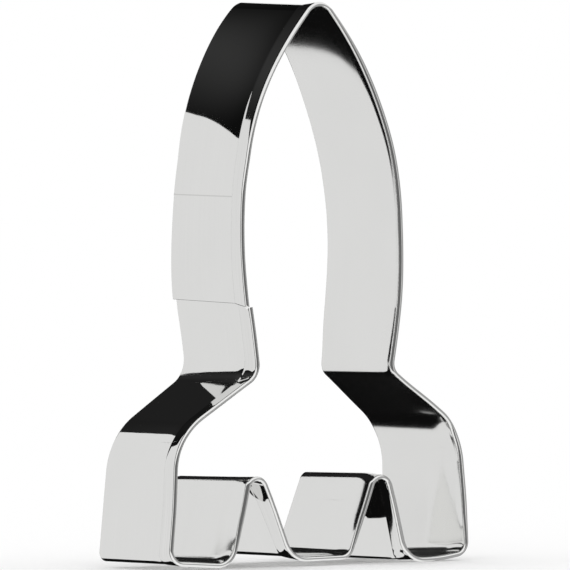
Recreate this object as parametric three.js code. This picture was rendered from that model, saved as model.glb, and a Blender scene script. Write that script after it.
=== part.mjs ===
// A rocket-shaped cookie cutter, bent from one strip of thin polished steel.
// The strip's front edge is folded outwards into a flat hem that is safe to press on, and its back
// edge is left thin to cut dough. Its two ends lap on the left wall, where spot welds hold them.
//
// Millimetres. X runs across the rocket, Y from the hem to the cutting edge, Z from feet to nose.
// The origin is under the middle of the part, at the lowest face of the feet.

import * as THREE from 'three';

// The strip
const SHEET = 0.35;
const DEPTH = 22;
const HEM_FLAP = 3.7;

// The rocket's outline. HEIGHT is over the hem, the rest is to the middle of the sheet,
// and each corner is given where its two sides would meet if it weren't rounded.
const HEIGHT = 100;
const BODY_WIDTH = 35;
const NOSE_LENGTH = 17.3;
const BELLY_HEIGHT = 51.8;
const WAIST_WIDTH = 29.6;
const WAIST_HEIGHT = 33.4;
const SHOULDER_WIDTH = 62;
const SHOULDER_HEIGHT = 22.4;
const FOOT_SPAN = 65.2;
const SIDE_FOOT_WIDTH = 13.7;
const MIDDLE_FOOT_WIDTH = 13.3;
const NOTCH_SPACING = 28.4;
const NOTCH_PEAK = 19.8;

// Radii of its bends
const TIP_RADIUS = 3.3;
const NOSE_RADIUS = 55;
const BELLY_RADIUS = 100;
const WAIST_RADIUS = 2.5;
const SHOULDER_RADIUS = 13;
const FOOT_RADIUS = 2;
const NOTCH_RADIUS = 2;

// The lap, measured along the left wall from the waist bend upwards
const LAP_RISE = 11.4;
const LAP_LENGTH = 19.5;
const LAP_GAP = 0.3;
const JOGGLE_LENGTH = 8;
const HEM_STOP = 0.5;

// The spot welds between the lapped ends
const WELD_DIAMETER = 2.5;
const WELD_CLEARANCE = 0.08;
const WELD_PITCH_UP = 10;
const WELD_PITCH_ACROSS = 9;

// Fineness of the facets
const CHORD_ERROR = 0.01;
const FOLD_STEPS = 4;
const JOGGLE_STEPS = 6;
const WELD_SIDES = 24;

const steel = new THREE.MeshStandardMaterial({ color: 0xd6d6d4, roughness: 0.1, metalness: 1 });
const weldedSteel = new THREE.MeshStandardMaterial({ color: 0x9a9894, roughness: 0.45, metalness: 1 });

// The hem lies one sheet outside the wall, so the wall's middle runs this far inside the overall size.
const hemProud = 1.5 * SHEET;
const baseZ = hemProud;
const topZ = HEIGHT - hemProud;

// The outline as corners, clockwise seen from the front

function corner(x, z, radius) {
  return { point: new THREE.Vector2(x, z), radius };
}

// The unrounded tip, placed so that the rounded one ends exactly at the part's height
function tipCorner() {
  const noseZ = topZ - NOSE_LENGTH;
  const toCentre = new THREE.Vector2(BODY_WIDTH / 2, topZ - TIP_RADIUS - noseZ);
  const lean = Math.atan2(toCentre.x, toCentre.y) - Math.asin(TIP_RADIUS / toCentre.length());
  return corner(0, noseZ + BODY_WIDTH / 2 / Math.tan(lean), TIP_RADIUS);
}

function outlineCorners() {
  const sideFootInner = FOOT_SPAN / 2 - SIDE_FOOT_WIDTH;
  const rightSide = [
    corner(BODY_WIDTH / 2, topZ - NOSE_LENGTH, NOSE_RADIUS),
    corner(BODY_WIDTH / 2, BELLY_HEIGHT, BELLY_RADIUS),
    corner(WAIST_WIDTH / 2, WAIST_HEIGHT, WAIST_RADIUS),
    corner(SHOULDER_WIDTH / 2, SHOULDER_HEIGHT, SHOULDER_RADIUS),
    corner(FOOT_SPAN / 2, baseZ, FOOT_RADIUS),
    corner(sideFootInner, baseZ, FOOT_RADIUS),
    corner(NOTCH_SPACING / 2, baseZ + NOTCH_PEAK, NOTCH_RADIUS),
    corner(MIDDLE_FOOT_WIDTH / 2, baseZ, FOOT_RADIUS),
  ];
  const leftSide = rightSide.map(({ point, radius }) => corner(-point.x, point.y, radius)).reverse();
  return [tipCorner(), ...rightSide, ...leftSide];
}

const LEFT_WAIST_FROM_END = 3;

// How far a corner's bend reaches along each of its two sides
function bendReach(before, { point, radius }, after) {
  const turn = point.clone().sub(before.point).angleTo(after.point.clone().sub(point));
  return radius * Math.tan(turn / 2);
}

// Joins corners by straight lines, with an arc at each. On a side that is too short for both its bends,
// a bend takes half of it or what the other one leaves, and no line is left between them.
function roundedOutline(corners) {
  const next = (i) => (i + 1) % corners.length;
  const last = (i) => (i + corners.length - 1) % corners.length;
  const wanted = corners.map((c, i) => bendReach(corners[last(i)], c, corners[next(i)]));
  const room = (i, other) => {
    const length = corners[i].point.distanceTo(corners[other].point);
    return Math.max(length / 2, length - wanted[other]);
  };
  const bends = corners.map((c, i) => {
    const reach = Math.min(wanted[i], room(i, last(i)), room(i, next(i)));
    const arriving = c.point.clone().sub(corners[last(i)].point).normalize();
    const leaving = corners[next(i)].point.clone().sub(c.point).normalize();
    return bendArc(c.point, arriving, leaving, reach);
  });
  const outline = new THREE.CurvePath();
  bends.forEach((bend, i) => {
    const straight = new THREE.LineCurve(bend.getPoint(1), bends[next(i)].getPoint(0));
    outline.add(bend);
    if (straight.getLength() > CHORD_ERROR) outline.add(straight);
  });
  return outline;
}

function bendArc(point, arriving, leaving, reach) {
  const turn = arriving.angleTo(leaving);
  const radius = reach / Math.tan(turn / 2);
  const clockwise = arriving.cross(leaving) < 0;
  const leftOfArriving = new THREE.Vector2(-arriving.y, arriving.x);
  const towardsCentre = leftOfArriving.multiplyScalar(clockwise ? -radius : radius);
  const start = point.clone().addScaledVector(arriving, -reach);
  const centre = start.clone().add(towardsCentre);
  const startAngle = towardsCentre.clone().negate().angle();
  const endAngle = startAngle + (clockwise ? -turn : turn);
  return new THREE.EllipseCurve(centre.x, centre.y, radius, radius, startAngle, endAngle, clockwise);
}

// Stations along the strip

// Starts the outline where the left waist bend ends, so that distances run up the left wall first
function outlineFromWaist() {
  const corners = outlineCorners();
  const waist = corners.length - LEFT_WAIST_FROM_END;
  return roundedOutline([...corners.slice(waist), ...corners.slice(0, waist)]);
}

const outline = outlineFromWaist();
const [waistBend, ...afterWaist] = outline.curves;
const pieces = [...afterWaist, waistBend];
const lengthOf = (curves) => curves.reduce((sum, curve) => sum + curve.getLength(), 0);
const starts = pieces.map((_, i) => lengthOf(pieces.slice(0, i)));
const loopLength = lengthOf(pieces);

// The middle of the sheet at a distance along the outline, and the direction out of the rocket there
function place(distance) {
  const along = ((distance % loopLength) + loopLength) % loopLength;
  const i = starts.findLastIndex((start) => start <= along);
  const u = Math.min(1, (along - starts[i]) / pieces[i].getLength());
  const tangent = pieces[i].getTangentAt(u);
  return { point: pieces[i].getPointAt(u), outward: new THREE.Vector2(-tangent.y, tangent.x) };
}

// Distances of one lap of the outline at which the faceted strip has an edge
function outlineStops() {
  return pieces.flatMap((curve, i) => {
    const isArc = curve.isEllipseCurve === true;
    const sweep = isArc ? Math.abs(curve.aEndAngle - curve.aStartAngle) : 0;
    const step = isArc ? 2 * Math.acos(1 - CHORD_ERROR / curve.xRadius) : 1;
    const count = isArc ? 2 * Math.ceil(sweep / step / 2) : 1;
    return Array.from({ length: count }, (_, k) => starts[i] + (curve.getLength() * k) / count);
  });
}

const stripStart = LAP_RISE;
const stripEnd = loopLength + LAP_RISE + LAP_LENGTH;
const hemEnd = loopLength + LAP_RISE - HEM_STOP;
const joggleStart = LAP_RISE + LAP_LENGTH + HEM_STOP;
const lapStep = SHEET + LAP_GAP;

// The outer end stands off to make room for the inner end, then joggles back to the outline
function standOff(distance) {
  return lapStep * (1 - THREE.MathUtils.smoothstep(distance, joggleStart, joggleStart + JOGGLE_LENGTH));
}

function stripStations() {
  const oneLap = outlineStops();
  const joggleStep = JOGGLE_LENGTH / JOGGLE_STEPS;
  const joggle = Array.from({ length: JOGGLE_STEPS + 1 }, (_, k) => joggleStart + joggleStep * k);
  const stops = [stripStart, ...oneLap, ...joggle, ...oneLap.map((d) => d + loopLength), hemEnd, stripEnd];
  const inOrder = stops.filter((d) => d >= stripStart && d <= stripEnd).sort((a, b) => a - b);
  const apart = inOrder.filter((d, i) => i === 0 || d - inOrder[i - 1] > CHORD_ERROR);
  return apart.map((distance) => ({ distance, ...place(distance) }));
}

// The strip

// The strip's cross-section: x is out of the rocket, y from the fold towards the cutting edge.
// The first four points are the wall alone, which is all that the lapped inner end has.
function hemmedSection() {
  const inner = -SHEET / 2;
  const outer = SHEET / 2;
  const wall = [[inner, HEM_FLAP], [inner, DEPTH], [outer, DEPTH], [outer, HEM_FLAP]];
  const fold = Array.from({ length: FOLD_STEPS + 1 }, (_, k) => {
    const angle = (Math.PI * k) / FOLD_STEPS;
    return [outer + SHEET * Math.cos(angle), SHEET - SHEET * Math.sin(angle)];
  });
  return [...wall, [outer + SHEET, HEM_FLAP], ...fold].map(([x, y]) => new THREE.Vector2(x, y));
}

function stripGeometry() {
  const section = hemmedSection();
  const wallPoints = [0, 1, 2, 3];
  const allPoints = section.map((_, i) => i);
  const hemPoints = [...allPoints.slice(3), 0];
  const stations = stripStations();
  const positions = [];
  const triangles = [];

  const rings = stations.map(({ distance, point, outward }) => {
    const kept = distance <= hemEnd ? allPoints : wallPoints;
    const shift = distance < loopLength ? standOff(distance) : 0;
    return kept.map((i) => {
      const across = point.clone().addScaledVector(outward, section[i].x + shift);
      positions.push(across.x, section[i].y - DEPTH / 2, across.y);
      return positions.length / 3 - 1;
    });
  });

  // Walls between one ring and the next
  rings.slice(1).forEach((ring, r) => {
    const previous = rings[r];
    ring.forEach((_, i) => {
      const j = (i + 1) % ring.length;
      triangles.push(previous[i], ring[j], ring[i], previous[i], previous[j], ring[j]);
    });
  });

  // Ends: both cut edges of the strip, and the hem where it stops below the lap
  const cap = (ring, points, facingBack) => {
    const contour = points.map((i) => section[i]);
    const flipped = THREE.ShapeUtils.isClockWise(contour) !== facingBack;
    THREE.ShapeUtils.triangulateShape(contour, []).forEach((face) => {
      const [a, b, c] = face.map((k) => ring[points[k]]);
      triangles.push(...(flipped ? [a, c, b] : [a, b, c]));
    });
  };
  const hemRing = rings.findLast((ring) => ring.length === allPoints.length);
  cap(rings[0], allPoints, true);
  cap(hemRing, hemPoints, false);
  cap(rings.at(-1), wallPoints, false);

  const geometry = new THREE.BufferGeometry();
  geometry.setAttribute('position', new THREE.Float32BufferAttribute(positions, 3));
  geometry.setIndex(triangles);
  geometry.computeVertexNormals();
  return geometry;
}

// The spot welds

// A flat nugget between the two ends, across the gap and centred on the lap
function spotWeld(name, up, across) {
  const { point, outward } = place(LAP_RISE + LAP_LENGTH / 2 + up);
  const middle = point.clone().addScaledVector(outward, lapStep / 2);
  const thickness = LAP_GAP - 2 * WELD_CLEARANCE;
  const geometry = new THREE.CylinderGeometry(WELD_DIAMETER / 2, WELD_DIAMETER / 2, thickness, WELD_SIDES);
  const weld = new THREE.Mesh(geometry, weldedSteel);
  weld.name = name;
  weld.position.set(middle.x, HEM_FLAP / 2 + across, middle.y);
  weld.quaternion.setFromUnitVectors(THREE.Object3D.DEFAULT_UP, new THREE.Vector3(outward.x, 0, outward.y));
  return weld;
}

// The whole cutter

const cutter = new THREE.Group();

const strip = new THREE.Mesh(stripGeometry(), steel);
strip.name = 'bent_strip';
cutter.add(strip);

[-0.5, 0.5].forEach((row) => {
  [-0.5, 0.5].forEach((column) => {
    const name = `spot_weld_${cutter.children.length}`;
    cutter.add(spotWeld(name, row * WELD_PITCH_UP, column * WELD_PITCH_ACROSS));
  });
});

export default cutter;
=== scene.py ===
# %% [markdown]
# # A rocket-shaped cookie cutter
#
# The cutter is one strip of thin polished steel, bent edgewise into a rocket. Its front edge is folded
# outwards into a hem that is safe to press on, and its back edge is left thin and bare to cut dough.
# This lesson bends the same strip in Blender as a workshop would: it draws the strip's cross-section once,
# then carries it along the outline with one spin for each straight and each bend.

# %% Load the packed model, which is the frame for everything here
import math

import bmesh
import bpy
from mathutils import Euler, Matrix, Vector


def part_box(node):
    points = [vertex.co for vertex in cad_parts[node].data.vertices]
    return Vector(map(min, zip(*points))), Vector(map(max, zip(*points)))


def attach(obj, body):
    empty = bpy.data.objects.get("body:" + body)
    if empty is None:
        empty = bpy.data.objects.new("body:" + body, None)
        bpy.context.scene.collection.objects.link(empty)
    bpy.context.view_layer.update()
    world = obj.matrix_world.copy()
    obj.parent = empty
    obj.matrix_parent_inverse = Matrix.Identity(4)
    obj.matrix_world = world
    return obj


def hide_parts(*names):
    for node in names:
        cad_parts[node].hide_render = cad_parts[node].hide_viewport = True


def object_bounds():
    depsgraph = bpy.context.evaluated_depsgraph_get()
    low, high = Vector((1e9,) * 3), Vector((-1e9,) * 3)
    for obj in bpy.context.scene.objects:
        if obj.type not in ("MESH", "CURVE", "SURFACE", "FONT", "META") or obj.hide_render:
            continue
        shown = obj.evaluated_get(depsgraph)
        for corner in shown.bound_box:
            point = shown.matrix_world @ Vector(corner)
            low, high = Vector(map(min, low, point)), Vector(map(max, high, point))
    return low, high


MM = 0.001

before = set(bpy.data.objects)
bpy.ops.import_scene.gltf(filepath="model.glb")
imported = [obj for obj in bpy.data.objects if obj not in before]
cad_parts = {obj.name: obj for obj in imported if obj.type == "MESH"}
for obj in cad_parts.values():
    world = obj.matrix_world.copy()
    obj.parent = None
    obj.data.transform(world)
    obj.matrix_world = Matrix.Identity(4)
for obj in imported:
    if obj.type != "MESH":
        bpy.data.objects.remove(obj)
cad_low, cad_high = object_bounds()
cad_size = cad_high - cad_low
print("CAD nodes:", sorted(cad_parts))
print("CAD box in mm:", [round(side / MM, 2) for side in cad_size])

# %% [markdown]
# ## The camera
#
# The photograph was taken from far away with a long lens, almost level with the cutter and a little to the
# left of its front. The place and lens below were fitted to the contours of the front and back edges, so
# the camera needs no shift. Roll is the small tilt of the picture itself.

# %% Place the camera
PICTURE_PIXELS = 570
FOCAL_PIXELS = 8413
CAMERA_AZIMUTH = math.radians(-37.25)
CAMERA_ELEVATION = math.radians(0.49)
CAMERA_ROLL = math.radians(-0.36)
CAMERA_DISTANCE = 1.5
CAMERA_CLIP = 100
CAMERA_TARGET = Vector((-0.0001, 0.0, 0.04976))


def make_camera():
    level = math.cos(CAMERA_ELEVATION)
    back = Vector((
        math.sin(CAMERA_AZIMUTH) * level,
        -math.cos(CAMERA_AZIMUTH) * level,
        math.sin(CAMERA_ELEVATION),
    ))
    data = bpy.data.cameras.new("camera")
    data.lens = data.sensor_width * FOCAL_PIXELS / PICTURE_PIXELS
    data.clip_end = CAMERA_CLIP
    camera = bpy.data.objects.new("camera", data)
    bpy.context.scene.collection.objects.link(camera)
    upright = (-back).to_track_quat("-Z", "Y").to_matrix()
    turned = upright @ Matrix.Rotation(CAMERA_ROLL, 3, "Z")
    place = CAMERA_TARGET + back * CAMERA_DISTANCE
    camera.matrix_world = Matrix.LocRotScale(place, turned.to_quaternion(), None)
    return camera


bpy.context.scene.camera = make_camera()
print("lens in mm:", round(bpy.context.scene.camera.data.lens, 1))

# %% [markdown]
# ## The outline as bends
#
# A maker sets the outline by its corners and rounds each corner over a peg. The list below gives the corners
# clockwise from the left waist, in millimetres, to the middle of the sheet. The height and the depth come
# from the frame. A curve with handles could draw the same outline, but a corner and a radius are what a
# maker measures, and they say directly how far each bend turns. The folded hem is stiffer than the bare
# sheet, so a second list gives the front edge its own corners.

# %% Sizes of the strip and corners of the rocket
SHEET = 0.35
HEM_FLAP = 3.7
BEAD_RADIUS = 0.42

DEPTH = cad_size.y / MM
BEAD_PROUD = 2 * BEAD_RADIUS - SHEET / 2
BASE = BEAD_PROUD
TOP = cad_size.z / MM - SHEET / 2
TIP_RADIUS = 3.7
NOSE_LENGTH = 17.0
NOSE_HEIGHT = TOP - NOSE_LENGTH
NOSE_RADIUS = 55
BODY_HALF = 17.5
BELLY_HEIGHT = 52.56
BELLY_RADIUS = 100


def tip_corner():
    """Where the nose's two sides would meet if the tip weren't rounded."""
    to_centre = Vector((BODY_HALF, TOP - TIP_RADIUS - NOSE_HEIGHT))
    lean = math.atan2(to_centre.x, to_centre.y) - math.asin(TIP_RADIUS / to_centre.length)
    return (0.0, NOSE_HEIGHT + BODY_HALF / math.tan(lean), TIP_RADIUS)


# Each corner is (across, height, bend radius), clockwise from the left waist, seen from the front.
CORNERS = {
    "left waist": (-14.5, 34.1, 5.0),
    "left belly": (-BODY_HALF, BELLY_HEIGHT, BELLY_RADIUS),
    "left nose": (-BODY_HALF, NOSE_HEIGHT, NOSE_RADIUS),
    "tip": tip_corner(),
    "right nose": (BODY_HALF, NOSE_HEIGHT, NOSE_RADIUS),
    "right belly": (BODY_HALF, BELLY_HEIGHT, BELLY_RADIUS),
    "right waist": (14.8, 34.36, 2.5),
    "right shoulder": (30.6, 23.16, 13),
    "right foot outer": (31.5, BASE + 0.5, 1.9),
    "right foot middle": (26.3, BASE - 0.05, 44),
    "right foot inner": (18.0, BASE - 0.17, 1.0),
    "right notch": (13.3, BASE + 19.86, 2.1),
    "middle foot right": (5.0, BASE + 1.25, 1.3),
    "middle foot left": (-7.2, BASE + 1.25, 1.3),
    "left notch": (-15.4, BASE + 17.56, 1.3),
    "left foot inner": (-20.4, BASE + 0.35, 1.8),
    "left foot outer": (-33.8, BASE + 0.65, 1.5),
    "left shoulder": (-31.4, 23.16, 13),
}
# The hem is stiffer than the bare sheet, so it leaves rounder bends along the front edge.
HEM_CORNERS = CORNERS | {
    "left waist": (-14.25, 34.0, 3.4),
    "right waist": (14.8, 34.36, 3.0),
    "right shoulder": (30.4, 23.16, 11),
    "right foot outer": (31.3, BASE + 0.65, 2.1),
    "right foot middle": (26.3, BASE + 0.03, 44),
    "right foot inner": (18.0, BASE, 4.5),
    "right notch": (12.9, BASE + 20.06, 2.4),
    "middle foot right": (4.7, BASE + 0.97, 2.2),
    "middle foot left": (-7.0, BASE + 0.82, 4.5),
    "left notch": (-14.9, BASE + 20.06, 2.3),
    "left foot inner": (-20.6, BASE + 0.1, 3.7),
    "left foot outer": (-33.6, BASE + 0.95, 2.2),
    "left shoulder": (-31.3, 23.5, 12),
}
corners = list(CORNERS.values())
print("corners in the outline:", len(corners))

# %% [markdown]
# ## A route of straights and bends
#
# The steel only ever does two things: it runs straight, or it turns with one radius. Each corner is replaced
# by a bend that just touches both of its sides, and the gaps between the bends are the straights. Each piece
# of the route keeps its start, its heading, its turn and its length, so the sweep later needs nothing else.

# %% Turn the corners into a route


def flat(corner):
    return Vector((corner[0], 0, corner[1]))


def turn_between(arriving, leaving):
    """The signed turn from one heading to the next, to the right when positive."""
    return math.atan2(arriving.cross(leaving).y, arriving.dot(leaving))


def bends_of(corners):
    """For each corner, where its bend starts and ends, the turn it makes and its heading at the start."""
    bends = []
    for i, corner in enumerate(corners):
        here = flat(corner)
        arriving = (here - flat(corners[i - 1])).normalized()
        leaving = (flat(corners[(i + 1) % len(corners)]) - here).normalized()
        turn = turn_between(arriving, leaving)
        reach = corner[2] * math.tan(abs(turn) / 2)
        bends.append({
            "start": here - arriving * reach,
            "end": here + leaving * reach,
            "heading": arriving,
            "turn": turn,
            "length": corner[2] * abs(turn),
        })
    return bends


def route_of(corners):
    """One lap of the outline from the end of the first bend, as straights and bends in order."""
    bends = bends_of(corners)
    route = []
    for bend, following in zip(bends, bends[1:] + bends[:1]):
        way = following["start"] - bend["end"]
        route.append({"start": bend["end"], "heading": way.normalized(), "turn": 0.0, "length": way.length})
        route.append(following)
    return route


route = route_of(corners)
hem_route = route_of(list(HEM_CORNERS.values()))
lap_length = sum(piece["length"] for piece in route)
print("straights and bends:", len(route), "length of one lap in mm:", round(lap_length, 1))

# %% [markdown]
# ## The cross-section
#
# Cut across, the strip is a thin wall with a hem: the sheet turns back on itself in a small round bead, and
# the flap lies flat on the outside of the wall. The section is drawn once as a closed loop of edges. A spin
# makes the bead, a bevel rounds the sheared corners, and the long sides are subdivided so that the finished
# sheet can follow gentle waves. Each vertex remembers whether it lies on the inner face, because the inside
# of the real cutter is less polished than the outside.

# %% Draw the section with its hem
SHEARED_ROUND = 0.06
SHEARED_STEPS = 4
BEAD_STEPS = 14
FACE_STEP = 0.8
INNER = -SHEET / 2
OUTER = SHEET / 2
FLAP_EDGE = 0.105
EDGE_GUARD = 0.2


def round_sheared_corners(bm):
    """Rounds the corners that the shears left, on the bare edge and on the flap's raw edge."""
    sheared = [vert for vert in bm.verts if vert.co.y > DEPTH - SHEARED_ROUND]
    on_flap = [vert for vert in bm.verts if vert.co.x < -(OUTER + FLAP_EDGE / 2)]
    sheared += [vert for vert in on_flap if vert.co.y > HEM_FLAP / 2]
    bmesh.ops.bevel(
        bm,
        geom=sheared,
        affect="VERTICES",
        offset=SHEARED_ROUND,
        segments=SHEARED_STEPS,
        profile=0.5,
        material=-1,
    )


def hemmed_section(bm):
    """Draws a closed loop in the plane z = 0, with the outside towards -X and the bead at the lowest Y."""
    outward = bm.verts.layers.float.new("outward")
    bead_outer = INNER + 2 * BEAD_RADIUS
    points = [
        (bead_outer, BEAD_RADIUS),
        (OUTER + FLAP_EDGE, HEM_FLAP),
        (OUTER, HEM_FLAP),
        (OUTER, DEPTH - EDGE_GUARD),
        (OUTER, DEPTH),
        (INNER, DEPTH),
        (INNER, DEPTH - EDGE_GUARD),
        (INNER, HEM_FLAP),
        (INNER, BEAD_RADIUS),
    ]
    verts = [bm.verts.new((-out, y, 0)) for out, y in points]
    for first, second in zip(verts, verts[1:]):
        bm.edges.new((first, second))
    centre = (-(INNER + BEAD_RADIUS), BEAD_RADIUS, 0)
    bmesh.ops.spin(bm, geom=[verts[-1]], cent=centre, axis=(0, 0, 1), angle=-math.pi, steps=BEAD_STEPS)
    bmesh.ops.remove_doubles(bm, verts=bm.verts, dist=SHEARED_ROUND / 10)
    round_sheared_corners(bm)
    for edge in [edge for edge in bm.edges if edge.calc_length() > FACE_STEP]:
        bmesh.ops.subdivide_edges(bm, edges=[edge], cuts=int(edge.calc_length() / FACE_STEP))
    for vert in bm.verts:
        vert[outward] = -vert.co.x


trial = bmesh.new()
hemmed_section(trial)
print("vertices in the section:", len(trial.verts))
trial.free()

# %% [markdown]
# ## Bending the strip
#
# A spin with a turn makes a bend, and a spin with a step and no turn makes a straight, so one helper can do
# the whole outline. It starts with the section standing at the lap on the left wall, and goes up over the
# nose and round the feet until it is back where it began. There the hem is cut away and only the wall goes
# on, as a tongue inside the start of the strip. Every vertex keeps its distance along the strip, because the
# lap and the finish both need it.

# %% Carry a ring of the section along the route
STRAIGHT_STEP = 1.0
BEND_STEP = 0.5
BEND_STEP_TURN = math.radians(6)
TINY = 0.001
SIDEWAYS = Vector((0, 1, 0))


def bend_centre(piece):
    radius = piece["length"] / piece["turn"]
    return piece["start"] + SIDEWAYS.cross(piece["heading"]) * radius


def place_on(piece, distance):
    """The point and heading at a distance along one straight or bend."""
    if piece["turn"] == 0:
        return piece["start"] + piece["heading"] * distance, piece["heading"]
    part = Matrix.Rotation(piece["turn"] * distance / piece["length"], 3, SIDEWAYS)
    centre = bend_centre(piece)
    return centre + part @ (piece["start"] - centre), part @ piece["heading"]


def place_at(distance):
    """The point and heading at a distance along the route."""
    for piece in route:
        if distance <= piece["length"]:
            return place_on(piece, distance)
        distance -= piece["length"]


def hem_move(distance):
    """How far the hem's rounder route lies from the route of the bare edge, at a distance along it."""
    for piece, hem_piece in zip(route + route, hem_route + hem_route):
        if distance <= piece["length"]:
            share = distance / piece["length"]
            return place_on(hem_piece, share * hem_piece["length"])[0] - place_on(piece, distance)[0]
        distance -= piece["length"]


def steps_for(piece, length, finest):
    if piece["turn"] == 0:
        return math.ceil(length / min(STRAIGHT_STEP, finest))
    turn = abs(piece["turn"]) * length / piece["length"]
    return max(math.ceil(length / min(BEND_STEP, finest)), math.ceil(turn / BEND_STEP_TURN))


def sweep(bm, ring, start, stop, finest=STRAIGHT_STEP):
    """Carries a ring from one distance along the route to another and returns the last ring."""
    along = bm.verts.layers.float["along"]
    begun = 0.0
    for piece in route + route:
        first = max(start, begun)
        length = min(stop, begun + piece["length"]) - first
        begun += piece["length"]
        if length < TINY:
            continue
        count = steps_for(piece, length, finest)
        if piece["turn"] == 0:
            move = {"dvec": piece["heading"] * length / count}
        else:
            turn = piece["turn"] * length / piece["length"]
            move = {"cent": bend_centre(piece), "axis": SIDEWAYS, "angle": turn}
        known = len(bm.verts)
        ring = bmesh.ops.spin(bm, geom=ring, steps=count, **move)["geom_last"]
        bm.verts.ensure_lookup_table()
        added = bm.verts[known:]
        ring_size = len(added) // count
        for number, vert in enumerate(added):
            vert[along] = first + length * (number // ring_size + 1) / count
    return ring


# %% Bend the strip from the lap round to the tongue
LAP_RISE = 9.78
LAP_LENGTH = 18.62
LAP_CHAMFER = 0.12
HEM_STOP = 0.45
CREASE_STEP = 0.06
CREASE_REACH = 1.0
lap_top = LAP_RISE + LAP_LENGTH
hem_end = lap_length + LAP_RISE - HEM_STOP
tongue_end = lap_length + lap_top


def first_ring(bm):
    """The section standing across the left wall, where the strip starts."""
    hemmed_section(bm)
    along = bm.verts.layers.float.new("along")
    for vert in bm.verts:
        vert[along] = LAP_RISE
    point, heading = place_at(LAP_RISE)
    lean = Matrix.Rotation(turn_between(Vector((0, 0, 1)), heading), 4, SIDEWAYS)
    to_middle = Vector((0, -DEPTH / 2, 0))
    bmesh.ops.transform(bm, matrix=Matrix.Translation(point + to_middle) @ lean, verts=bm.verts)
    return bm.verts[:] + bm.edges[:]


def edges_of(ring):
    return [part for part in ring if isinstance(part, bmesh.types.BMEdge)]


def end_hem(bm, ring):
    """Closes the hem at a ring and returns the ring of the wall alone."""
    out = bm.verts.layers.float["outward"]
    verts = [part for part in ring if isinstance(part, bmesh.types.BMVert)]
    flap_line = [vert for vert in verts if abs(vert.co.y + DEPTH / 2 - HEM_FLAP) < TINY]
    foot = min(flap_line, key=lambda vert: abs(vert[out] - OUTER))
    inner = min(flap_line, key=lambda vert: abs(vert[out] - INNER))
    across = bm.edges.new((foot, inner))
    is_wall = {vert for vert in verts if vert.co.y > foot.co.y + TINY} | {foot, inner}
    wall_edges = [edge for edge in edges_of(ring) if is_wall.issuperset(edge.verts)]
    hem_edges = [edge for edge in edges_of(ring) if edge not in wall_edges]
    bmesh.ops.contextual_create(bm, geom=hem_edges + [across])
    return [vert for vert in verts if vert in is_wall] + wall_edges + [across]


def bend_strip():
    """The whole strip: one lap of the hemmed section, then the bare tongue."""
    bm = bmesh.new()
    ring = first_ring(bm)
    bmesh.ops.contextual_create(bm, geom=edges_of(ring))
    stops = [LAP_RISE, LAP_RISE + LAP_CHAMFER, LAP_RISE + 2 * LAP_CHAMFER, lap_top - CREASE_REACH]
    for start, stop in zip(stops, stops[1:]):
        ring = sweep(bm, ring, start, stop)
    ring = sweep(bm, ring, lap_top - CREASE_REACH, lap_top + CREASE_REACH, CREASE_STEP)
    ring = sweep(bm, ring, lap_top + CREASE_REACH, hem_end)
    tongue = end_hem(bm, ring)
    tongue = sweep(bm, tongue, hem_end, tongue_end)
    bmesh.ops.contextual_create(bm, geom=edges_of(tongue))
    bmesh.ops.recalc_face_normals(bm, faces=bm.faces)
    return bm


strip = bend_strip()
open_edges = sum(not edge.is_manifold for edge in strip.edges)
print("faces in the strip:", len(strip.faces), "open edges:", open_edges)
print("volume in cubic mm:", round(strip.calc_volume(signed=True), 1))

# %% [markdown]
# ## The lap and its cut ends
#
# The start of the strip lies outside the tongue, so it has to stand off by the thickness of the sheet. It
# opens a little towards its free end, and the end of the tongue presses a fine crease into it. The snips left
# the free end slanted and the hem's end dented. These are small moves of the finished mesh. They could be
# sculpted, but smooth functions of place can be read, measured and changed.

# %% Stand the lap off and trim the cut ends
LAP_GAP = 0.03
LAP_SEAT = SHEET + LAP_GAP
LAP_OPEN_FRONT = 0.62
LAP_OPEN_BACK = 0.85
JOGGLE_LENGTH = 8.0
CREASE_HEIGHT = 0.05
CREASE_WIDTH = 0.2
CREASE_SLANT = 0.6
CREASE_PIVOT = 0.2
CREASE_FADE = 1.0
LAP_SLANT = 0.8
LAP_SLANT_REACH = 5.0
HEM_CUT = 0.5
HEM_CUT_REACH = 2.0


def smooth(value, low, high):
    """Rises smoothly from 0 to 1 as the value goes from low to high."""
    part = min(1.0, max(0.0, (value - low) / (high - low)))
    return part * part * (3 - 2 * part)


def fade(value, low, high):
    """Falls smoothly from 1 to 0 as the value goes from low to high."""
    return 1 - smooth(value, low, high)


def mix(first, second, share):
    return first + (second - first) * share


def hill(distance, reach):
    """A bell that is 1 in the middle and has almost gone at twice its reach."""
    return math.exp(-((distance / reach) ** 2))


def stand_off(along, y):
    """How far the start of the strip stands outside the outline."""
    above_end = along - LAP_RISE
    back_share = y / DEPTH + 0.5
    if above_end > LAP_LENGTH:
        seat = LAP_SEAT * fade(above_end, LAP_LENGTH, LAP_LENGTH + JOGGLE_LENGTH)
    else:
        opened = mix(LAP_OPEN_FRONT, LAP_OPEN_BACK, back_share)
        seat = mix(opened, LAP_SEAT, above_end / LAP_LENGTH)
    from_crease = above_end - LAP_LENGTH - CREASE_SLANT * (back_share - CREASE_PIVOT)
    crease = CREASE_HEIGHT * hill(from_crease, CREASE_WIDTH)
    return seat + crease * smooth(y + DEPTH / 2, HEM_FLAP - CREASE_FADE, HEM_FLAP)


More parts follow.
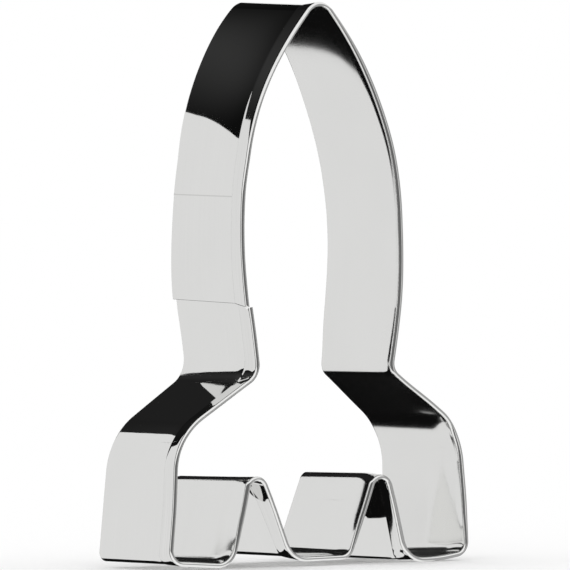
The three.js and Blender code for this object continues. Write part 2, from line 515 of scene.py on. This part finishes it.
def trimmed(along, from_front):
    """How far the snips moved a cut end up the wall: the lap's end is slanted, the hem's end is dented."""
    near_end = fade(along, LAP_RISE, LAP_RISE + LAP_SLANT_REACH)
    slant = LAP_SLANT * (from_front / DEPTH - 0.5) * near_end
    at_hem_end = hem_end - HEM_CUT_REACH < along <= hem_end + TINY
    if not at_hem_end or from_front > HEM_FLAP + TINY:
        return slant
    dent = HEM_CUT * hill(from_front - 2 * BEAD_RADIUS, BEAD_RADIUS)
    kept = HEM_CUT / 2 * smooth(from_front, 3 * BEAD_RADIUS, HEM_FLAP)
    return (kept - dent) * smooth(along, hem_end - HEM_CUT_REACH, hem_end)


print("stand-off at the free end in mm:", round(stand_off(LAP_RISE, 0), 2))
print("stand-off at the top of the lap in mm:", round(stand_off(lap_top, 0), 2))

# %% [markdown]
# ## The maker's hand
#
# The real cutter was bent by hand over pegs: its body sways, its front and back edges don't quite agree, and
# its feet are set to one side. A lattice could push the mesh about, but a list of pushes says plainly where
# the hand was, how hard it pushed and how far that reached. All the pushes are added up at each point.

# %% Push the walls out of true
# Each push on a wall is to the right, in mm: (at the front edge, at the back edge, height, reach).
LEFT_WALL_PUSHES = [(0.7, 1.3, 65.8, 12), (0.0, -0.25, 97, 7), (0.0, -0.2, 46, 6)]
RIGHT_WALL_PUSHES = [
    (-0.3, -0.33, 82.8, 8),
    (0.0, 0.38, 58.8, 8),
    (0.0, 1.0, 34.6, 6.5),
    (0.0, -0.5, 5.8, 9),
]
BOTH_WALLS_PUSHES = [(0.82, 0.82, 43.8, 14)]
# Each bulge of a wall is outwards, in mm: (how far the hem draws the front edge in, over what depth).
LEFT_BULGE = (0.75, 17.0)
RIGHT_BULGE = (0.36, 14.0)
# Each pair of heights, in mm, is where a move comes in or fades out.
BULGE_HEIGHTS = (58.8, 74.8)
FRONT_PUSH = -0.12
FEET_PUSH = 0.6
FEET_PUSH_HEIGHTS = (8.8, 22.8)


def pushed(pushes, z, back_share):
    return sum(
        mix(front, back, back_share) * hill(z - height, reach)
        for front, back, height, reach in pushes
    )


def bulged(bulge, from_front):
    """A bulge that leaves both edges where they are, and is steepest beside the hem."""
    drawn, reach = bulge
    left = max(0.0, 1 - max(from_front, HEM_FLAP) / reach)
    hem_slope = 3 * left * left / reach
    draw = left ** 3 + hem_slope * max(0.0, HEM_FLAP - from_front)
    edge_left = 1 - HEM_FLAP / reach
    edge_draw = edge_left ** 3 + 3 * edge_left ** 2 * HEM_FLAP / reach
    return drawn * ((1 - from_front / DEPTH) * edge_draw - draw)


def wall_push(z, from_front, on_right):
    """How far a wall lies to the right of true, at a height and a distance from the front edge."""
    back_share = from_front / DEPTH
    nose = smooth(z, *BULGE_HEIGHTS)
    left = pushed(LEFT_WALL_PUSHES, z, back_share) - nose * bulged(LEFT_BULGE, from_front)
    right = pushed(RIGHT_WALL_PUSHES, z, back_share) + nose * bulged(RIGHT_BULGE, from_front)
    both = pushed(BOTH_WALLS_PUSHES, z, back_share)
    both += (1 - back_share) * (FRONT_PUSH + FEET_PUSH * fade(z, *FEET_PUSH_HEIGHTS))
    return both + mix(left, right, on_right)


print("push at half height in mm:", round(wall_push(TOP / 2, DEPTH / 2, 0.5), 2))

# %% [markdown]
# ## Feet and notches set askew
#
# Seen from the front, the back edge doesn't lie exactly behind the hem: it is wider at the nose, narrower at
# the fins, and the walls of the notches are set askew. Moves that grow from the front edge to the back edge
# give this, and each one has bounds, so that it leaves its neighbours alone. The strip and its welds both
# go through the same function, so they stay together.

# %% Set the back edge askew from the front edge
WALL_BLEND = 3.0
NOSE_SPLAY = 0.91
NOSE_SPLAY_HEIGHTS = (72.8, 96.8)
FINS_SPLAY = -0.82
FINS_SPLAY_HEIGHTS = (20.8, 36.8)
TIP_LIFT = 1.0
TIP_LIFT_HEIGHTS = (81, 100)
RIGHT_FOOT_SINK = 0.6
RIGHT_FOOT_ACROSS = (22, 31)
RIGHT_FOOT_HEIGHTS = (2, 9)
# Across the cutter, in mm from its middle, a move comes in over one pair and fades out over the other.
FIRST_NOTCH_SPLAY = -1.0
FIRST_NOTCH_IN = (-28, -23)
FIRST_NOTCH_OUT = (-16.5, -13)
SECOND_NOTCH_SPLAY = (1.95, 1.0)
SECOND_NOTCH_IN = (1, 6)
SECOND_NOTCH_BETWEEN = (6, 13)
SECOND_NOTCH_OUT = (18, 24)
NOTCH_SINK = 0.3
NOTCH_SINK_HEIGHTS = (4.8, 18.8)
NOTCH_SINK_ACROSS = (20, 26)
NOTCH_ROOF_HEIGHTS = (22.8, 26.8)


def notch_moves(x, z):
    """How far the back of a notch's wall is set to the right, and how far down."""
    under_roof = fade(z, *NOTCH_ROOF_HEIGHTS)
    first = smooth(x, *FIRST_NOTCH_IN) * fade(x, *FIRST_NOTCH_OUT)
    second = smooth(x, *SECOND_NOTCH_IN) * fade(x, *SECOND_NOTCH_OUT)
    second_splay = mix(*SECOND_NOTCH_SPLAY, smooth(x, *SECOND_NOTCH_BETWEEN))
    splay = under_roof * (first * FIRST_NOTCH_SPLAY + second * second_splay)
    sink = under_roof * smooth(z, *NOTCH_SINK_HEIGHTS) * fade(abs(x), *NOTCH_SINK_ACROSS) * NOTCH_SINK
    return splay, sink


def hand_bent(place):
    """Where the maker's hand leaves a point of the true outline."""
    x, y, z = place
    from_front = y + DEPTH / 2
    back_share = from_front / DEPTH
    off_centre = back_share - 0.5
    side = math.tanh(x / WALL_BLEND)
    splay = NOSE_SPLAY * smooth(z, *NOSE_SPLAY_HEIGHTS) + FINS_SPLAY * fade(z, *FINS_SPLAY_HEIGHTS)
    notch_splay, notch_sink = notch_moves(x, z)
    push = wall_push(z, from_front, (1 + side) / 2)
    push += side * off_centre * splay + back_share * notch_splay
    tip_lift = TIP_LIFT * smooth(z, *TIP_LIFT_HEIGHTS)
    foot_sink = RIGHT_FOOT_SINK * smooth(x, *RIGHT_FOOT_ACROSS) * fade(z, *RIGHT_FOOT_HEIGHTS)
    lift = off_centre * (tip_lift - foot_sink) - back_share * notch_sink
    return Vector((x + push, y, z + lift))


back_of_tip = Vector((0, DEPTH / 2, TOP))
print("move of the tip's back in mm:", [round(move, 2) for move in hand_bent(back_of_tip) - back_of_tip])

# %% [markdown]
# ## The pull of the hem
#
# Folding the hem strains the sheet beside it. On the real cutter this shows in the reflections, which bend
# just behind the bead: the sheet curls in on the right wall and on the left walls of the notches, it leans
# out on the right shoulder, and the flap is tilted on the right wall of the second notch. A bump in the
# material could fake the bent reflections, but the shape itself gives them from every side.

# %% Curl the sheet beside the hem and finish the strip
# Pairs named DOWN and UP are shares of the strip's heading. ABOVE is a height and ACROSS a place, in mm.
SWELL = 0.12
SWELL_REACH = 6.0
CURL = 0.3
CURL_REACH = 2.5
CURL_DOWN = (0.72, 0.9)
CURL_ABOVE = (2, 9)
EASE = 0.36
EASE_REACH = 5.0
EASE_ACROSS = (17, 24)
EASE_ABOVE = (14, 17)
EASE_DOWN = (0.65, 0.99)
FLAP_TILT = 0.235
TILT_UP = (0.7, 0.9)
TILT_ACROSS = (8, 12)
HEM_STIFF_REACH = 5.0


def beside_hem(from_front, reach):
    """1 at the front edge, and 0 from a reach behind it."""
    return max(0.0, 1 - from_front / reach)


def curled(along, outward, from_front):
    """How the hem's fold leans the sheet beside it, and its flap at one notch."""
    point, heading = place_at(along % lap_length)
    inwards = SIDEWAYS.cross(heading)
    down = -heading.z
    on_shoulder = smooth(point.x, *EASE_ACROSS) * smooth(point.z, *EASE_ABOVE) * fade(down, *EASE_DOWN)
    lean = -EASE * on_shoulder * beside_hem(from_front, EASE_REACH) ** 2
    if outward > OUTER:
        at_notch = smooth(heading.z, *TILT_UP) * smooth(point.x, *TILT_ACROSS)
        return inwards * (lean - FLAP_TILT * at_notch * beside_hem(from_front, HEM_FLAP))
    swell = SWELL * beside_hem(from_front, SWELL_REACH) ** 2
    curl = CURL * beside_hem(from_front, CURL_REACH) ** 3
    going_down = smooth(down, *CURL_DOWN) * smooth(point.z, *CURL_ABOVE)
    through_sheet = min(1.0, (OUTER - outward) / SHEET)
    return inwards * (lean + (swell + curl) * going_down * through_sheet)


def finish_strip(bm):
    """Moves every vertex from the true outline to where the maker left it."""
    along = bm.verts.layers.float["along"]
    outward = bm.verts.layers.float["outward"]
    for vert in bm.verts:
        from_front = vert.co.y + DEPTH / 2
        if vert[along] < LAP_RISE + TINY and vert[outward] > 0:
            vert.co.x += LAP_CHAMFER
        vert.co.z += trimmed(vert[along], from_front)
        if vert[along] < lap_top + JOGGLE_LENGTH:
            vert.co.x -= stand_off(vert[along], vert.co.y)
        vert.co += curled(vert[along], vert[outward], from_front)
        hem_share = fade(from_front, 0, HEM_STIFF_REACH)
        vert.co = hand_bent(vert.co + hem_share * hem_move(vert[along]))
    bmesh.ops.triangulate(bm, faces=[face for face in bm.faces if len(face.verts) > 4])
    bmesh.ops.scale(bm, vec=(MM, MM, MM), verts=bm.verts)


finish_strip(strip)
print("volume of the finished strip in cubic mm:", round(strip.calc_volume(signed=True) / MM ** 3, 1))

# %% [markdown]
# ## From mesh to object
#
# The strip is smooth all round, apart from its cut ends and the step at the flap. Faces are shaded smooth,
# edges that turn sharply are marked sharp, and a Weighted Normal modifier lets the large faces set the
# shading. A mirror shows every unevenness of the normals, so this matters more here than the face count.

# %% Make the strip an object that replaces the CAD strip
SHARP_ANGLE = math.radians(50)
LARGE_FACE_WEIGHT = 90


def make_object(name, bm):
    for face in bm.faces:
        face.smooth = True
    mesh = bpy.data.meshes.new(name)
    bm.to_mesh(mesh)
    bm.free()
    made = bpy.data.objects.new(name, mesh)
    bpy.context.scene.collection.objects.link(made)
    return made


polished_strip = make_object("polished_strip", strip)
polished_strip.data.set_sharp_from_angle(angle=SHARP_ANGLE)
even_normals = polished_strip.modifiers.new("even_normals", "WEIGHTED_NORMAL")
even_normals.keep_sharp = True
even_normals.weight = LARGE_FACE_WEIGHT
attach(polished_strip, "root")
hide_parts("bent_strip")
print("triangles in the strip:", sum(len(p.vertices) - 2 for p in polished_strip.data.polygons))

# %% [markdown]
# ## The spot welds
#
# On the real cutter two electrodes pinch the lapped ends, and a short current melts a nugget of steel between
# them. A nugget hardly shows, but it holds the ring closed. A squashed sphere is a good nugget: it is
# thickest in the middle and bites a little into both sheets. Each one takes its place from the weld of the
# same name in the frame, and then goes through the same hand-bending as the strip, so that it stays in it.

# %% Melt the four spot welds between the lapped ends
WELD_RADIUS = 1.25
WELD_BITE = 0.06
WELD_SEGMENTS = 32
SEARCH_STEPS = 100


def along_at(height):
    """The distance along the route at which the left wall reaches a height."""
    steps = [LAP_RISE + LAP_LENGTH * step / SEARCH_STEPS for step in range(SEARCH_STEPS + 1)]
    return min(steps, key=lambda distance: abs(place_at(distance)[0].z - height))


def melt_weld(name):
    """A lens of fused steel that bites into both lapped ends, where the frame has the weld."""
    low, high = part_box(name)
    middle = (low + high) / 2 / MM
    along = along_at(middle.z)
    point, heading = place_at(along)
    off = stand_off(along, middle.y)
    half_thickness = (off - SHEET) / 2 + WELD_BITE
    lean = Matrix.Rotation(turn_between(Vector((0, 0, 1)), heading), 4, SIDEWAYS)
    lens = Matrix.Diagonal((half_thickness, WELD_RADIUS, WELD_RADIUS, 1))
    place = Matrix.Translation((point.x - off / 2, middle.y, point.z))
    bm = bmesh.new()
    segments = {"u_segments": WELD_SEGMENTS, "v_segments": WELD_SEGMENTS // 2}
    bmesh.ops.create_uvsphere(bm, **segments, radius=1, matrix=place @ lean @ lens)
    for vert in bm.verts:
        vert.co = hand_bent(vert.co)
    bmesh.ops.scale(bm, vec=(MM, MM, MM), verts=bm.verts)
    return make_object(f"{name}_nugget", bm)


weld_names = sorted(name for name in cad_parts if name.startswith("spot_weld"))
nuggets = [melt_weld(name) for name in weld_names]
for nugget, name in zip(nuggets, weld_names):
    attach(nugget, "root")
    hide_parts(name)
print("welds:", [nugget.name for nugget in nuggets])

# %% [markdown]
# ## Shader maths
#
# A finish is a small sum of noises and steps, and adding every node one by one hides that sum. The class
# below wraps one output socket and gives it the signs of arithmetic, so that a line of Python reads like the
# sum it builds. A node group could do the same work, but it is slower to read and to change.

# %% Shader maths as Python


class Wire:
    """One output socket of a material. Arithmetic on wires adds Math nodes to the material."""

    def __init__(self, tree, socket=None):
        self.tree = tree
        self.socket = socket

    def feed(self, node, values):
        """Sets or links the sockets of a node, by name or number."""
        for key, value in values.items():
            if isinstance(value, Wire):
                self.tree.links.new(value.socket, node.inputs[key])
            else:
                node.inputs[key].default_value = value

    def node(self, kind, settings, values, output=0):
        """Adds a node with its settings, then its sockets, and returns one of its outputs."""
        made = self.tree.nodes.new("ShaderNode" + kind)
        for name, setting in settings.items():
            setattr(made, name, setting)
        self.feed(made, values)
        return Wire(self.tree, made.outputs[output])

    def math(self, operation, *values):
        return self.node("Math", {"operation": operation}, dict(enumerate(values)))

    def __add__(self, other):
        return self.math("ADD", self, other)

    def __sub__(self, other):
        return self.math("SUBTRACT", self, other)

    def __rsub__(self, other):
        return self.math("SUBTRACT", other, self)

    def __mul__(self, other):
        return self.math("MULTIPLY", self, other)

    __radd__ = __add__
    __rmul__ = __mul__

    def rise(self, low, high):
        """A smooth step from 0 to 1 as this value goes from low to high."""
        values = {"Value": self, "From Min": low, "From Max": high}
        return self.node("MapRange", {"interpolation_type": "SMOOTHSTEP"}, values)

    def blend(self, dark, pale):
        """The colour that lies between two colours at this value: sockets 6 and 7 take colours."""
        return self.node("Mix", {"data_type": "RGBA"}, {0: self, 6: dark, 7: pale}, 2)

    def noise(self, scale, detail):
        """Cloudy noise from about 0 to 1, with this wire as its place."""
        return self.node("TexNoise", {}, {"Vector": self, "Scale": scale, "Detail": detail})


def new_finish(name):
    """A material, its principled shader and a wire to start its nodes from."""
    material = bpy.data.materials.new(name)
    material.use_nodes = True
    return material, material.node_tree.nodes["Principled BSDF"], Wire(material.node_tree)


print("what a wire can do:", sorted(name for name in vars(Wire) if name.isalpha()))

# %% [markdown]
# ## The polished steel
#
# The strip was rolled and then polished, so it is almost a mirror, with faint lines along its length. The
# inside was polished less, and shows softer, speckled reflections. The pattern has to follow the bends, so it
# is laid out by the distance along the strip that each vertex has kept, and not by its place in space. A fine
# grey line of painted shade lies along the raw edge of the flap, and another along the crease of the lap.
# Colour, roughness and a very low bump are all that vary.

# %% Lay the strip out flat for its patterns
FACE_APART = 20


def strip_axes(start):
    """Where a point lies, in mm: along the strip, across it from the hem, and outwards. Inside is 1 or 0."""
    place = start.node("TexCoord", {}, {}, "Object")
    outward = start.node("Attribute", {"attribute_name": "outward"}, {}, "Fac")
    return {
        "along": start.node("Attribute", {"attribute_name": "along"}, {}, "Fac"),
        "across": start.node("SeparateXYZ", {}, {"Vector": place}, "Y") * (1 / MM) + DEPTH / 2,
        "outward": outward,
        "inside": 1 - outward.rise(INNER, INNER / 2),
    }


def laid_flat(axes, stretch_along, stretch_across, layer):
    """A place for a noise to read, stretched along and across the strip, with the inner face apart."""
    sockets = {
        "X": axes["along"] * stretch_along,
        "Y": axes["across"] * stretch_across,
        "Z": axes["inside"] * FACE_APART + layer,
    }
    return axes["along"].node("CombineXYZ", {}, sockets)


kept_values = [value.name for value in polished_strip.data.attributes if value.data_type == "FLOAT"]
print("values that each vertex of the strip keeps:", sorted(kept_values))

# %% Paint shade along the flap's raw edge and the crease, and streak the flap
OUTER_FACE = (0, OUTER / 2)
# Painted shade: a fine darker line in the crevice along the flap's raw edge.
EDGE_SHADE_TONE = 0.5
EDGE_SHADE_BEHIND_FLAP = 0.05
EDGE_SHADE_LINE = (0.04, 0.14)
# Painted shade: a darker line along the crease that the tongue's end presses into the lap.
CREASE_SHADE_TONE = 0.9
CREASE_SHADE_LINE = (0.03, 0.15)
CREASE_START = (HEM_FLAP, HEM_FLAP + 0.1)
STREAK_TONE = 0.5
STREAK_MIDDLE = 0.6
ON_FLAP = (OUTER + 0.02, OUTER + 0.06)
BEHIND_BEAD = (0.8, 1.2)


def thin_line(away, core, edge):
    """1 within a core distance of a line, and 0 from its edge on."""
    return 1 - away.math("ABSOLUTE", away).rise(core, edge)


def dark_marks(axes, lines_at, grain_at):
    """What darkens the steel: painted shade along the flap's raw edge and along the pressed crease, and
    streaks on the flap.
    """
    across = axes["across"]
    outer_face = axes["outward"].rise(*OUTER_FACE)
    # Painted shade: a fine darker line in the crevice along the flap's raw edge.
    edge_shade_line = thin_line(across - (HEM_FLAP + EDGE_SHADE_BEHIND_FLAP), *EDGE_SHADE_LINE) * outer_face
    edge_shade = edge_shade_line * EDGE_SHADE_TONE * grain_at.noise(scale=0.5, detail=2)
    # Painted shade: a darker line along the crease that the tongue's end presses into the lap.
    slant = CREASE_SLANT * (across * (1 / DEPTH) - CREASE_PIVOT)
    crease_shade_line = thin_line(axes["along"] - lap_top - slant, *CREASE_SHADE_LINE) * outer_face
    crease = crease_shade_line * across.rise(*CREASE_START) * CREASE_SHADE_TONE
    on_flap = axes["outward"].rise(*ON_FLAP) * across.rise(*BEHIND_BEAD)
    streaks = on_flap * (STREAK_MIDDLE - lines_at.noise(scale=2.5, detail=2)) * STREAK_TONE
    return edge_shade + crease + streaks


print("the crease darkens the steel by", CREASE_SHADE_TONE, "and dirt by up to", EDGE_SHADE_TONE)

# %% Polish the steel
DARK_STEEL = (0.66, 0.66, 0.65, 1)
PALE_STEEL = (0.95, 0.95, 0.94, 1)
MIDDLE_TONE = 0.5
CLOUD_TONE = 0.10
LINE_TONE = 0.10
MIRROR_ROUGHNESS = 0.035
INSIDE_ROUGHNESS = 0.06
LINE_ROUGHNESS = 0.01
SCRATCH_ROUGHNESS = 0.2
SCRATCH_CUT = (0.70, 0.78)
SCRATCH_PATCH = (0.5, 0.6)
WAVE_HEIGHT = 0.012
GRAIN_HEIGHT = 0.0018


def polish_steel():
    material, shader, start = new_finish("polished_steel_finish")
    axes = strip_axes(start)
    inside = axes["inside"]
    lines_at = laid_flat(axes, stretch_along=0.02, stretch_across=3.0, layer=0)
    clouds_at = laid_flat(axes, stretch_along=0.08, stretch_across=0.08, layer=3)
    grain_at = laid_flat(axes, stretch_along=1, stretch_across=1, layer=5)
    scratch_at = laid_flat(axes, stretch_along=2.2, stretch_across=0.05, layer=9)
    lines = lines_at.noise(scale=1, detail=3) - 0.5
    clouds = clouds_at.noise(scale=1, detail=2) - 0.5
    # The tone loses painted shade along the flap's raw edge and along the crease, and the flap's own streaks.
    tone = clouds * CLOUD_TONE + lines * LINE_TONE + MIDDLE_TONE - dark_marks(axes, lines_at, grain_at)
    colour = tone.blend(DARK_STEEL, PALE_STEEL)
    patches = clouds_at.noise(scale=0.8, detail=1).rise(*SCRATCH_PATCH)
    scratches = scratch_at.noise(scale=1, detail=1).rise(*SCRATCH_CUT) * patches
    roughness = MIRROR_ROUGHNESS + inside * INSIDE_ROUGHNESS
    roughness = roughness + lines * LINE_ROUGHNESS + scratches * SCRATCH_ROUGHNESS
    waves = clouds_at.noise(scale=1.5, detail=1) * WAVE_HEIGHT
    grain = grain_at.noise(scale=3, detail=1) * inside * GRAIN_HEIGHT
    bump = start.node("Bump", {}, {"Strength": 1, "Distance": MM, "Height": waves + grain}, "Normal")
    start.feed(shader, {"Base Color": colour, "Metallic": 1, "Roughness": roughness, "Normal": bump})
    return material


polished_strip.data.materials.append(polish_steel())
print("nodes in the polished steel:", len(polished_strip.data.materials[0].node_tree.nodes))

# %% [markdown]
# ## The welds' skin
#
# Fused steel cools with a grey, mottled skin. Two greys mixed by a fine noise are enough for something so
# small, and the same noise makes the skin uneven in its roughness too.

# %% Leave the welds dull
DARK_SKIN = (0.34, 0.33, 0.32, 1)
PALE_SKIN = (0.62, 0.61, 0.59, 1)
MOTTLE_SCALE = 900
SKIN_ROUGHNESS = 0.35
MOTTLE_ROUGHNESS = 0.3


def dull_weld():
    material, shader, start = new_finish("fused_steel_finish")
    mottle = start.node("TexCoord", {}, {}, "Object").noise(MOTTLE_SCALE, detail=3)
    colour = mottle.blend(DARK_SKIN, PALE_SKIN)
    roughness = mottle * MOTTLE_ROUGHNESS + SKIN_ROUGHNESS
    start.feed(shader, {"Base Color": colour, "Metallic": 1, "Roughness": roughness})
    return material


weld_finish = dull_weld()
for nugget in nuggets:
    nugget.data.materials.append(weld_finish)
print("welds finished:", len(nuggets))

# %% [markdown]
# ## The studio
#
# A mirror has hardly any colour of its own: it shows what stands round it. So the black and white shapes on
# the steel are made where a photographer makes them, with boards. A light panel stands behind the cutter, in
# front of a large dark board, and the borders between the two are the borders on the nose and the shoulders.
# Three dimmer boards on the right and beside the camera shade the beads and the insides of the feet. Only
# reflections can see the boards. The floor keeps a soft shadow.

# %% Hang the dark board
ON_EDGE = (math.radians(90), 0, 0)
DARK_BOARD_Y = 235
DARK_LEVEL = 0.005
ABOVE_LEVEL = 0.034
BESIDE_LEVEL = 0.011


def flat_board(middle, turn, width, height):
    """A rectangle of the given size, turned and then moved to its place."""
    bm = bmesh.new()
    size = Vector((width, height, 1)) * MM
    place = Matrix.LocRotScale(Vector(middle) * MM, Euler(turn), size)
    bmesh.ops.create_grid(bm, x_segments=1, y_segments=1, size=0.5, matrix=place)
    return bm


def hang_board(name, bm, glow):
    """Puts a board in the scene that only reflections can see."""
    board = make_object(name, bm)
    board.visible_camera = False
    board.visible_diffuse = False
    board.visible_shadow = False
    material, shader, start = new_finish(name)
    sockets = {"Base Color": (0, 0, 0, 1), "Specular IOR Level": 0, "Emission Strength": 1}
    start.feed(shader, sockets | {"Emission Color": glow(start)})
    board.data.materials.append(material)
    print("hung:", board.name)


def soft_spot(start, middle, radius):
    """1 in the middle of a round spot, fading smoothly to 0 at its edge."""
    place = start.node("TexCoord", {}, {}, "Object")
    sockets = {0: place, 1: Vector(middle) * MM}
    away = start.node("VectorMath", {"operation": "DISTANCE"}, sockets, "Value")
    return 1 - away.rise(0, radius * MM)


def dark_glow(start):
    """Almost black, with two soft lighter spots beside and above the light panel."""
    above = soft_spot(start, middle=(-85, DARK_BOARD_Y, 245), radius=120)
    beside = soft_spot(start, middle=(40, DARK_BOARD_Y, 190), radius=130)
    return DARK_LEVEL + ABOVE_LEVEL * above + BESIDE_LEVEL * beside


dark_board = flat_board(middle=(-355, DARK_BOARD_Y, 100), turn=ON_EDGE, width=1010, height=1400)
hang_board("dark_board", dark_board, dark_glow)

# %% Hang the light panel in front of it
PANEL_Y = 230
PANEL_LEVEL = 0.85
PANEL = [
    (-240, -340),
    (25, -340),
    (25, -245),
    (-44, -245),
    (-44, -185),
    (-57, 182),
    (-72, 182),
    (-115, 166),
    (-240, 159),
]


def cut_board(corners, y):
    """An upright board with the given corners, as (across, height)."""
    bm = bmesh.new()
    bm.faces.new([bm.verts.new(Vector((x, y, z)) * MM) for x, z in corners])
    return bm


def even(level):
    """A glow that is the same all over a board."""
    return lambda start: (level, level, level, 1)


hang_board("light_panel", cut_board(PANEL, PANEL_Y), even(PANEL_LEVEL))

# %% Hang the dimmer boards
FLAT = (0, 0, 0)
END_ON = (math.radians(90), 0, math.radians(90))
CAMERA_BOARD_LEVEL = 0.16
RIGHT_FLOOR_LEVEL = 0.42
RIGHT_BOARD_LEVEL = 0.4

camera_board = flat_board(middle=(-295, -250, 35), turn=ON_EDGE, width=810, height=190)
hang_board("camera_board", camera_board, even(CAMERA_BOARD_LEVEL))
right_floor = flat_board(middle=(280, -100, -40), turn=FLAT, width=440, height=600)
hang_board("right_floor", right_floor, even(RIGHT_FLOOR_LEVEL))
right_board = flat_board(middle=(260, -190, 70), turn=END_ON, width=620, height=260)
hang_board("right_board", right_board, even(RIGHT_BOARD_LEVEL))

# %% Lay the floor and light the world
FLOOR_HALF_METRES = 60
WHITE = (1, 1, 1, 1)

floor = bmesh.new()
bmesh.ops.create_grid(floor, x_segments=1, y_segments=1, size=FLOOR_HALF_METRES)
floor_object = make_object("floor", floor)
floor_object.visible_glossy = False
paint, floor_shader, start = new_finish("white_floor")
start.feed(floor_shader, {"Base Color": WHITE, "Roughness": 1, "Specular IOR Level": 0})
floor_object.data.materials.append(paint)
world = bpy.data.worlds.new("studio")
bpy.context.scene.world = world
world.use_nodes = True
world.node_tree.nodes["Background"].inputs["Color"].default_value = WHITE
bpy.context.scene.view_settings.view_transform = "Standard"

# %% [markdown]
# ## Sizes
#
# The finished strip must still fit the box of the frame, with a small allowance for the maker's hand.
